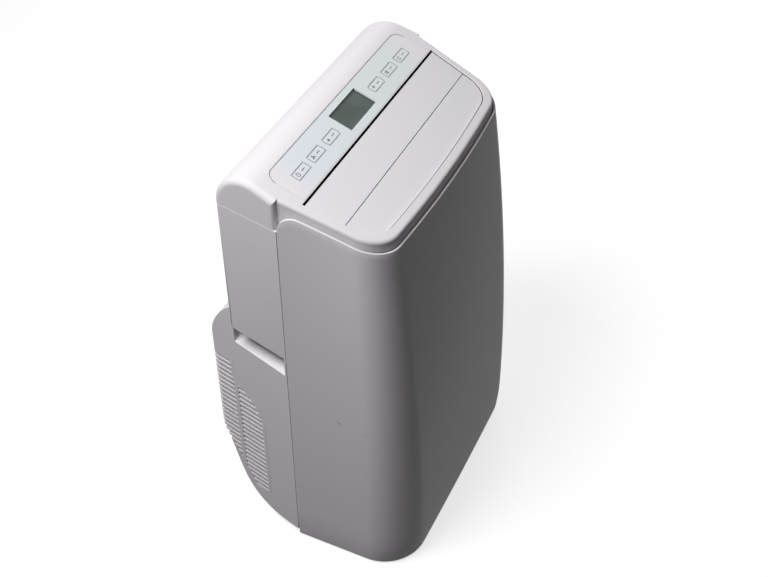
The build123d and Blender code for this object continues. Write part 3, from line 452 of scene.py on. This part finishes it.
def filter_net(name, tone):
    """Woven filter net: crossing threads over gaps darkened with painted shade."""
    material, shader, place = new_material(name)
    x, _, z = separate(place)
    warp = (x * THREADS_PER_METRE).math("FRACT") < THREAD_SHARE
    weft = (z * THREADS_PER_METRE).math("FRACT") < THREAD_SHARE
    thread = warp.math("MAXIMUM", weft)
    dust = noise(place, 25.0, 4.0)
    # The gaps between the threads are coloured dark: painted shade behind the net
    tone_wire = mix_colours(place, thread, shade(tone, 0.18), tone)
    tone_wire = mix_colours(place, dust * 0.18, tone_wire, FILTER_DUST)
    connect(shader, base_color=tone_wire, roughness=0.6 + dust * 0.1, normal=bump(place, thread, 0.0003, 0.7))
    return material


def circuit_board(name, tone):
    """Solder mask with copper tracks showing through as lighter lines."""
    material, shader, place = new_material(name)
    cells = place.node("ShaderNodeTexVoronoi", {"feature": "DISTANCE_TO_EDGE"},
                       {"Vector": place, "Scale": 260.0}, "Distance")
    track = cells < 0.06
    connect(shader, base_color=mix_colours(place, track, tone, shade(tone, 1.9)), roughness=0.3 + cells * 0.1)
    return material


def make_finishes():
    """Every finish of the object by the record's slot name."""
    tone = colours()
    return {
        "shell": moulded_plastic("shell_plastic", tone.shell, 0.44, marks=NICKS),
        "louvre": moulded_plastic("louvre_plastic", tone.louvre, 0.42, 0.7),
        "film": control_film("control_film", tone.film, tone.shell),
        "window": display_glass("display_glass", tone.glass),
        "display": display_glass("display_cell", tone.glass),
        "board": circuit_board("circuit_board", tone.board),
        "inner_plastic": moulded_plastic("inner_plastic", tone.dark_plastic, 0.55),
        "collar": moulded_plastic("collar_plastic", shade(tone.shell, 0.92), 0.5),
        "filter_net": filter_net("filter_net", tone.net),
        "rubber": soft_rubber("soft_rubber", tone.rubber),
        "caster_plastic": moulded_plastic("caster_plastic", shade(tone.dark_plastic, 0.5), 0.5),
        "steel": brushed_metal("zinc_steel", tone.steel, 0.34),
        "motor": brushed_metal("motor_steel", shade(tone.steel, 0.8), 0.42),
        "fins": coil_fins("coil_fins", tone.fins),
        "black_steel": painted_steel("black_enamel", tone.black_steel),
        "copper": brushed_metal("drawn_copper", tone.copper, 0.3),
        "ink": printed_ink("printed_ink", tone.ink),
    }


FINISH_NAMES = {}


def finish(slot):
    """The finish made for a slot."""
    return bpy.data.materials[FINISH_NAMES[slot]]


# Surfaces

def make_piece(name, points, faces, slot, body="cabinet", smooth=True):
    """A mesh piece from whole arrays of points and four-cornered faces, riding on a body."""
    mesh = bpy.data.meshes.new(name)
    mesh.from_pydata(points.reshape(-1, 3).tolist(), [], faces.reshape(-1, faces.shape[-1]).tolist())
    mesh.update()
    mesh.polygons.foreach_set("use_smooth", np.full(len(mesh.polygons), smooth))
    piece = bpy.data.objects.new(name, mesh)
    bpy.context.scene.collection.objects.link(piece)
    mesh.materials.append(finish(slot))
    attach(piece, body)
    return piece


def grid_faces(rows, columns):
    """Corners of the four-sided faces of a grid of points, row by row."""
    index = np.arange(rows * columns).reshape(rows, columns)
    return np.stack([index[:-1, :-1], index[:-1, 1:], index[1:, 1:], index[1:, :-1]], axis=-1)


def on_top(u, v, w):
    """Points of the sloping top's own frame: u to the right, v up the slope and w out of it."""
    slope = sizes().top_slope
    y = v * math.cos(slope) - w * math.sin(slope)
    z = sizes().top_middle_z + v * math.sin(slope) + w * math.cos(slope)
    return np.stack([u, y, z], axis=-1)


# Front panel

# Points of the panel's grid: columns of half the front, the corner, the side and the crest, rows of the foot
FRONT_COLUMNS = 18
ARC_COLUMNS = 22
SIDE_COLUMNS = 10
CREST_COLUMNS = 16
CREST_SHARE = 0.28
FOOT_ROWS = 12
FOOT_SHARE = 0.1
EDGE_PASSES = 8
LIP_ANGLE = math.radians(50.0)


def panel_point(share, z):
    """Plan of the panel at height z. Share 0 is the middle of the front, 1 the start of the corner's arc,
    2 its end and 3 the seam. The front is a wide arc through its middle and both corners. The corner's arc
    touches the wide arc from inside and the straight side: its middle lies at the wide radius less its own
    from the wide arc's middle, and at its own radius from the side."""
    size = sizes()
    low, high = PANEL_LOW.z, size.panel_top
    seam = PANEL_HIGH.y
    rise = (z - low) / (high - low)
    tuck = size.tuck_depth * np.maximum(0.0, (size.tuck_height - z) / (size.tuck_height - low)) ** 2
    corner = size.half_width - (size.half_width - size.panel_top_half_width) * rise ** 2 - tuck
    face = size.panel_front + (z - low) ** 2 / (2 * size.panel_bow) + tuck
    bow = size.front_bow_low + (size.front_bow_high - size.front_bow_low) * rise
    radius = size.corner_low + (size.corner_high - size.corner_low) * rise
    wide = (corner ** 2 + bow ** 2) / (2 * bow)
    run_x = size.half_width - tuck - corner
    run_y = seam + size.side_reach - face - bow
    run = np.hypot(run_x, run_y)
    way_x, way_y = run_x / run, run_y / run
    start_x = corner - radius * way_y
    start_y = bow + radius * way_x - wide
    ahead = start_x * way_x + start_y * way_y
    reach = -ahead - np.sqrt(ahead ** 2 - start_x ** 2 - start_y ** 2 + (wide - radius) ** 2)
    middle_x = start_x + reach * way_x
    middle_y = start_y + reach * way_y + face + wide
    lean = np.arcsin(middle_x / (wide - radius))
    last = np.arctan2(-way_x, way_y)
    front = lean * np.clip(share, 0, 1)
    angle = lean - math.pi / 2 + (last - lean + math.pi / 2) * np.clip(share - 1, 0, 1)
    x = np.where(share < 1, wide * np.sin(front), middle_x + radius * np.cos(angle))
    y = np.where(share < 1, face + wide * (1 - np.cos(front)), middle_y + radius * np.sin(angle))
    along = np.clip(share - 2, 0, 1) * (seam - middle_y - radius * np.sin(last))
    return x + along * run_x / run_y, y + along


def panel_edge(y):
    """Height of the panel's upper edge: a sloping line with a round crest at the seam."""
    size = sizes()
    seam = PANEL_HIGH.y
    middle_y = size.panel_front + (size.panel_top - PANEL_LOW.z) ** 2 / (2 * size.panel_bow)
    slope = size.top_slope
    crest = size.panel_top + math.tan(slope) * (seam - middle_y)
    reach = size.crest_radius / math.tan((math.pi / 2 - slope) / 2)
    line = size.panel_top + math.tan(slope) * (y - middle_y)
    across = np.clip(y - (seam - size.crest_radius), -size.crest_radius, size.crest_radius)
    arc = crest - reach + np.sqrt(size.crest_radius ** 2 - across ** 2)
    return np.where(y > seam - reach * math.cos(slope), arc, line)


def panel_columns():
    """Shares of the right half of the panel, close together on the arc and near the crest."""
    front = np.linspace(0, 1, FRONT_COLUMNS)
    arc = np.linspace(1, 2, ARC_COLUMNS)[1:]
    crest = CREST_SHARE * (1 - np.sin(np.linspace(0, math.pi / 2, CREST_COLUMNS)))
    run = np.concatenate([np.linspace(0, 1 - CREST_SHARE, SIDE_COLUMNS)[1:-1], 1 - crest])
    return np.concatenate([front, arc, 2 + run])


def panel_surface():
    """Points of the whole panel, from its bottom edge to its upper edge, row by row. The height of the upper
    edge depends on y, and y on the height, so the edge is found in a few passes."""
    right = panel_columns()
    share = np.concatenate([-right[:0:-1], right])
    size = sizes()
    top = np.full(share.shape, size.panel_top)
    for _ in range(EDGE_PASSES):
        top = panel_edge(panel_point(np.abs(share), top)[1])
    foot = np.linspace(0, FOOT_SHARE, FOOT_ROWS)
    rise = np.concatenate([foot, np.linspace(FOOT_SHARE, 1, size.rows - FOOT_ROWS)[1:]])[:, None]
    z = PANEL_LOW.z + rise * (top - PANEL_LOW.z)[None, :]
    x, y = panel_point(np.abs(share)[None, :] + 0 * z, z)
    return np.stack([np.sign(share)[None, :] * x, y, z], axis=-1)


class AC_OT_front_panel(bpy.types.Operator):
    """Make the moulded front panel as one fine surface with a wall and a round lip"""

    bl_idname = "air_conditioner.front_panel"
    bl_label = "Front panel"

    def execute(self, context):
        points = panel_surface()
        panel = make_piece("front_panel_skin", points, grid_faces(*points.shape[:2]), "shell")
        wall = panel.modifiers.new("wall", "SOLIDIFY")
        wall.thickness = sizes().panel_wall
        wall.offset = -1.0
        wall.use_even_offset = True
        lip = panel.modifiers.new("lip", "BEVEL")
        lip.width = sizes().panel_edge_round
        lip.segments = 3
        lip.limit_method = "ANGLE"
        lip.angle_limit = LIP_ANGLE
        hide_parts("front_panel")
        return {"FINISHED"}


# Rear cover and blades

# Corners closer than this are one, and faces that lean less than the flat angle are one face
MERGE_DISTANCE = 2e-6
FLAT_ANGLE = math.radians(0.6)
SHARP_ANGLE = math.radians(32.0)
SOFT_ANGLE = math.radians(40.0)

# Node: its slot, its body, the size of its round and the height above which its edges are rounded
SOFT_NODES = {
    "rear_upper_cover": ("shell", "cabinet", "seam_round", 0.60),
    "rear_louvre": ("louvre", "rear_louvre", "moulded_round", 0.0),
    "front_louvre": ("louvre", "front_louvre", "moulded_round", 0.0),
}


class AC_OT_soft_edges(bpy.types.Operator):
    """Round the blades' edges and the rear cover's upper edge, on merged copies of their meshes"""

    bl_idname = "air_conditioner.soft_edges"
    bl_label = "Soft edges"

    def execute(self, context):
        for node, (slot, body, round_name, lowest) in SOFT_NODES.items():
            mesh = frame["nodes"][node].data.copy()
            mesh.name = node + "_moulding"
            work = bmesh.new()
            work.from_mesh(mesh)
            bmesh.ops.remove_doubles(work, verts=work.verts, dist=MERGE_DISTANCE)
            bmesh.ops.dissolve_limit(work, angle_limit=FLAT_ANGLE, verts=work.verts, edges=work.edges)
            weight = work.edges.layers.float.new("bevel_weight_edge")
            for line in work.edges:
                if min(corner.co.z for corner in line.verts) > lowest:
                    line[weight] = float(line.calc_face_angle(0.0) > SOFT_ANGLE)
            work.to_mesh(mesh)
            work.free()
            mesh.polygons.foreach_set("use_smooth", np.full(len(mesh.polygons), True))
            mesh.set_sharp_from_angle(angle=SHARP_ANGLE)
            piece = bpy.data.objects.new(node + "_moulding", mesh)
            context.scene.collection.objects.link(piece)
            mesh.materials.clear()
            mesh.materials.append(finish(slot))
            edge = piece.modifiers.new("edge", "BEVEL")
            edge.width = getattr(sizes(), round_name)
            edge.segments = 2
            edge.limit_method = "WEIGHT"
            edge.use_clamp_overlap = False
            even = piece.modifiers.new("even", "WEIGHTED_NORMAL")
            even.mode = "FACE_AREA"
            even.weight = 100
            even.keep_sharp = True
            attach(piece, body)
            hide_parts(node)
        return {"FINISHED"}


# Prints on the film and the keys

# Size of the hub in the middle of a filled outline, as a share of the outline
FAN_HUB = 1e-4


def line_strip(path, width, lift, closed=True):
    """Flat line of even width along a path on the sloping top: the path moved half a width to both sides."""
    ahead = np.roll(path, -1, axis=0) - np.roll(path, 1, axis=0)
    if not closed:
        ahead[0] = path[1] - path[0]
        ahead[-1] = path[-1] - path[-2]
    side = np.stack([-ahead[:, 1], ahead[:, 0]], axis=-1)
    side /= np.linalg.norm(side, axis=1)[:, None]
    edges = np.stack([path - side * width / 2, path + side * width / 2], axis=1)
    points = on_top(edges[..., 0], edges[..., 1], np.full(edges.shape[:2], lift))
    if closed:
        points = np.concatenate([points, points[:1]], axis=0)
    return points, grid_faces(*points.shape[:2])


def round_box(half_u, half_v, radius, steps=6):
    """Outline of a box with round corners, about its middle, anticlockwise."""
    turn = np.linspace(0, math.pi / 2, steps)
    corners = []
    for quarter, (su, sv) in enumerate(((1, 1), (-1, 1), (-1, -1), (1, -1))):
        angle = turn + quarter * math.pi / 2
        corners.append(np.stack([su * (half_u - radius) + radius * np.cos(angle),
                                 sv * (half_v - radius) + radius * np.sin(angle)], axis=-1))
    return np.concatenate(corners)


def circle(radius, steps=28, start=0.0, turn=2 * math.pi):
    """Points of a circle or an arc about its middle: (r cos a, r sin a)."""
    angle = start + np.linspace(0, turn, steps, endpoint=turn < 2 * math.pi)
    return radius * np.stack([np.cos(angle), np.sin(angle)], axis=-1)


def plate(outline, lift):
    """Flat filled outline: a fan of thin faces about its middle."""
    middle = outline.mean(axis=0)
    ring = np.concatenate([outline, outline[:1]])
    rows = np.stack([ring, np.repeat(middle[None], len(ring), axis=0) + (ring - middle) * FAN_HUB], axis=1)
    points = on_top(rows[..., 0], rows[..., 1], np.full(rows.shape[:2], lift))
    return points, grid_faces(*points.shape[:2])


def clock_symbol():
    """Ring with two hands."""
    hands = np.array([[0.0, 1.4], [0.0, 0.0], [1.0, -0.6]]) * MM
    return [("line", circle(2.3 * MM), True), ("line", hands, False)]


def fan_symbol():
    """Three round blades about a hub."""
    blade = circle(1.05 * MM, 16) * np.array([1.25, 0.8])
    shapes = []
    for third in range(3):
        angle = math.radians(90 + 120 * third)
        turn = np.array([[math.cos(angle), math.sin(angle)], [-math.sin(angle), math.cos(angle)]])
        shapes.append(("plate", (blade + np.array([1.45 * MM, 0.3 * MM])) @ turn, True))
    return shapes


def arrow_symbol(way):
    """Triangle that points up or down the slope."""
    return [("plate", way * np.array([[-1.9, -1.4], [1.9, -1.4], [0.0, 1.9]]) * MM, True)]


def mode_symbol():
    """Four small panes."""
    pane = round_box(0.85 * MM, 0.85 * MM, 0.2 * MM, 3)
    return [("plate", pane + np.array([i, j]) * 1.15 * MM, True) for i in (-1, 1) for j in (-1, 1)]


def power_symbol():
    """Open ring with a bar in its gap."""
    ring = circle(2.1 * MM, 26, math.radians(122), math.radians(296))
    return [("line", ring, False), ("line", np.array([[0.0, 0.6], [0.0, 2.7]]) * MM, False)]


SYMBOLS = {"timer": clock_symbol, "fan": fan_symbol, "up": lambda: arrow_symbol(1),
           "down": lambda: arrow_symbol(-1), "mode": mode_symbol, "power": power_symbol}


def join(parts):
    """One pair of arrays from several pieces' points and faces."""
    points, faces, first = [], [], 0
    for some_points, some_faces in parts:
        flat = some_points.reshape(-1, 3)
        points.append(flat)
        faces.append(some_faces.reshape(-1, 4) + first)
        first += len(flat)
    return np.concatenate(points), np.concatenate(faces)


class AC_OT_key_prints(bpy.types.Operator):
    """Print each key with a thin outline, its symbol and a short bar"""

    bl_idname = "air_conditioner.key_prints"
    bl_label = "Key prints"

    def execute(self, context):
        size = sizes()
        for key, symbol in SYMBOLS.items():
            low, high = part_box("key_" + key)
            middle = np.array([(low.x + high.x) / 2, size.key_place])
            frame_line = round_box(size.key_length / 2 - size.key_line_inset,
                                   size.key_width / 2 - size.key_line_inset, size.key_line_corner)
            parts = [line_strip(frame_line + middle, size.print_line, size.print_lift)]
            symbol_place = middle - np.array([size.symbol_shift, 0.0])
            for form, small_outline, closed in symbol():
                outline = small_outline * size.symbol_scale
                if form == "line":
                    parts.append(line_strip(outline + symbol_place, size.print_line, size.print_lift, closed))
                else:
                    parts.append(plate(outline + symbol_place, size.print_lift))
            bar = np.array([[size.bar_start, 0.0], [size.bar_end, 0.0]]) + middle
            parts.append(line_strip(bar, size.bar_width, size.print_lift, False))
            points, faces = join(parts)
            piece = make_piece("key_" + key + "_print", points, faces, "ink", "key_" + key, smooth=False)
        return {"FINISHED"}


class AC_OT_film_line(bpy.types.Operator):
    """Draw the thin line along the rear of the control film and round its rear corners"""

    bl_idname = "air_conditioner.film_line"
    bl_label = "Film line"

    def execute(self, context):
        size = sizes()
        inset = size.film_line_inset
        half = size.film_half_width - inset
        rear = size.film_rear - inset
        radius = size.film_corner - inset
        turn = np.linspace(0, math.pi / 2, 14)
        right = np.stack([half - radius + radius * np.cos(turn),
                          rear - radius + radius * np.sin(turn)], axis=-1)
        left = right[::-1] * np.array([-1.0, 1.0])
        path = np.concatenate([right, left])
        points, faces = line_strip(path, size.print_line, size.print_lift, False)
        piece = make_piece("control_film_line", points, faces, "ink", smooth=False)
        return {"FINISHED"}


# Frame nodes

class AC_OT_frame_finishes(bpy.types.Operator):
    """Make the finishes and give each node of the frame the one of its slot"""

    bl_idname = "air_conditioner.frame_finishes"
    bl_label = "Frame finishes"

    def execute(self, context):
        for slot, material in make_finishes().items():
            FINISH_NAMES[slot] = material.name
        for row in frame["record"]["subparts"]:
            piece = frame["nodes"][row["node"]]
            piece.data.materials.clear()
            piece.data.materials.append(finish(row["material_slot"]))
        return {"FINISHED"}


# Stage

# Half the floor's side, its grid lines and its drop below the wheels, in metres
FLOOR_REACH = 14.0
FLOOR_LINES = 15
FLOOR_DROP = 0.0005

# Share of the floor's tone for rays that show it and for those that only light other things
FLOOR_SEEN = 0.42
FLOOR_UNSEEN = 0.08

# Millimetres, as for the lens
SENSOR_WIDTH = 36.0


class AC_OT_stage(bpy.types.Operator):
    """Set the floor, the lamps, the world and the camera"""

    bl_idname = "air_conditioner.stage"
    bl_label = "Stage"

    def execute(self, context):
        scene = context.scene
        scene.view_settings.view_transform = "Standard"
        self.floor()
        self.world(scene)
        self.lamp("key_lamp", stage().key_place, stage().key_power, stage().key_size)
        self.lamp("fill_lamp", stage().fill_place, stage().fill_power, stage().fill_size)
        self.camera(scene)
        return {"FINISHED"}

    def floor(self):
        line = np.linspace(-FLOOR_REACH, FLOOR_REACH, FLOOR_LINES)
        x, y = np.meshgrid(line, line)
        points = np.stack([x, y, np.full(x.shape, CAD_LOW.z - FLOOR_DROP)], axis=-1)
        mesh = bpy.data.meshes.new("floor")
        faces = grid_faces(FLOOR_LINES, FLOOR_LINES)
        mesh.from_pydata(points.reshape(-1, 3).tolist(), [], faces.reshape(-1, 4).tolist())
        floor = bpy.data.objects.new("floor", mesh)
        bpy.context.scene.collection.objects.link(floor)
        material, shader, place = new_material("studio_floor")
        seen = self.seen_rays(place)
        tone = tuple(colours().floor)
        glow = (stage().floor_glow,) * 3
        pale = mix_colours(place, seen, shade(tone, FLOOR_UNSEEN), shade(tone, FLOOR_SEEN))
        connect(shader, base_color=pale, roughness=0.9,
                emission_color=mix_colours(place, seen, (0.0, 0.0, 0.0), glow), emission_strength=1.0,
                specular_ior_level=0.0)
        mesh.materials.append(material)

    def seen_rays(self, place):
        """1 for rays that show the background: camera, mirror and glass rays."""
        path = place.tree.nodes.new("ShaderNodeLightPath")
        names = ("Is Camera Ray", "Is Glossy Ray", "Is Transmission Ray")
        first, second, third = (Wire(place.tree, path.outputs[name]) for name in names)
        return first + second + third

    def world(self, scene):
        world = bpy.data.worlds.new("studio")
        world.use_nodes = True
        scene.world = world
        tree = world.node_tree
        background = tree.nodes["Background"]
        start = Wire(tree, background.outputs[0])
        seen = self.seen_rays(start)
        strength = seen * (1.0 - stage().ambient) + stage().ambient
        background.inputs["Color"].default_value = (1.0, 1.0, 1.0, 1.0)
        tree.links.new(strength.socket, background.inputs["Strength"])

    def lamp(self, name, place, power, size):
        data = bpy.data.lights.new(name, "AREA")
        data.energy = power
        data.shape = "SQUARE"
        data.size = size
        lamp = bpy.data.objects.new(name, data)
        bpy.context.scene.collection.objects.link(lamp)
        aim = (CAD_LOW + CAD_HIGH) / 2 - Vector(place)
        lamp.location = place
        lamp.rotation_euler = aim.to_track_quat("-Z", "Y").to_euler()

    def camera(self, scene):
        view = stage()
        data = bpy.data.cameras.new("camera")
        data.lens = view.camera_lens
        data.sensor_width = SENSOR_WIDTH
        camera = bpy.data.objects.new("camera", data)
        scene.collection.objects.link(camera)
        a, e = view.camera_azimuth, view.camera_elevation
        back = Vector((math.sin(a) * math.cos(e), -math.cos(a) * math.cos(e), math.sin(e)))
        right = Vector((math.cos(a), math.sin(a), 0.0))
        turn = Matrix((right, back.cross(right), back)).transposed()
        camera.matrix_world = Matrix.Translation(view.camera_place) @ turn.to_4x4()
        scene.camera = camera


class AC_PT_panel(bpy.types.Panel):
    """Lists the steps that dress the air conditioner"""

    bl_idname = "AC_PT_panel"
    bl_label = "Air conditioner"
    bl_space_type = "VIEW_3D"
    bl_region_type = "UI"
    bl_category = "Air conditioner"

    def draw(self, context):
        for step in STEPS:
            self.layout.operator(step.bl_idname)


GROUPS = {"ac_sizes": AirConditionerSizes, "ac_colours": AirConditionerColours,
          "ac_stage": AirConditionerStage}
STEPS = (AC_OT_frame_finishes, AC_OT_front_panel, AC_OT_soft_edges, AC_OT_film_line, AC_OT_key_prints,
         AC_OT_stage)


def register():
    for group in (*GROUPS.values(), *STEPS, AC_PT_panel):
        bpy.utils.register_class(group)
    for name, group in GROUPS.items():
        setattr(bpy.types.Scene, name, PointerProperty(type=group))


def unregister():
    for name in GROUPS:
        delattr(bpy.types.Scene, name)
    for group in reversed((*GROUPS.values(), *STEPS, AC_PT_panel)):
        bpy.utils.unregister_class(group)


def main():
    """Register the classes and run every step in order."""
    register()
    for step in STEPS:
        group, name = step.bl_idname.split(".")
        getattr(getattr(bpy.ops, group), name)()


if __name__ == "__main__":
    main()
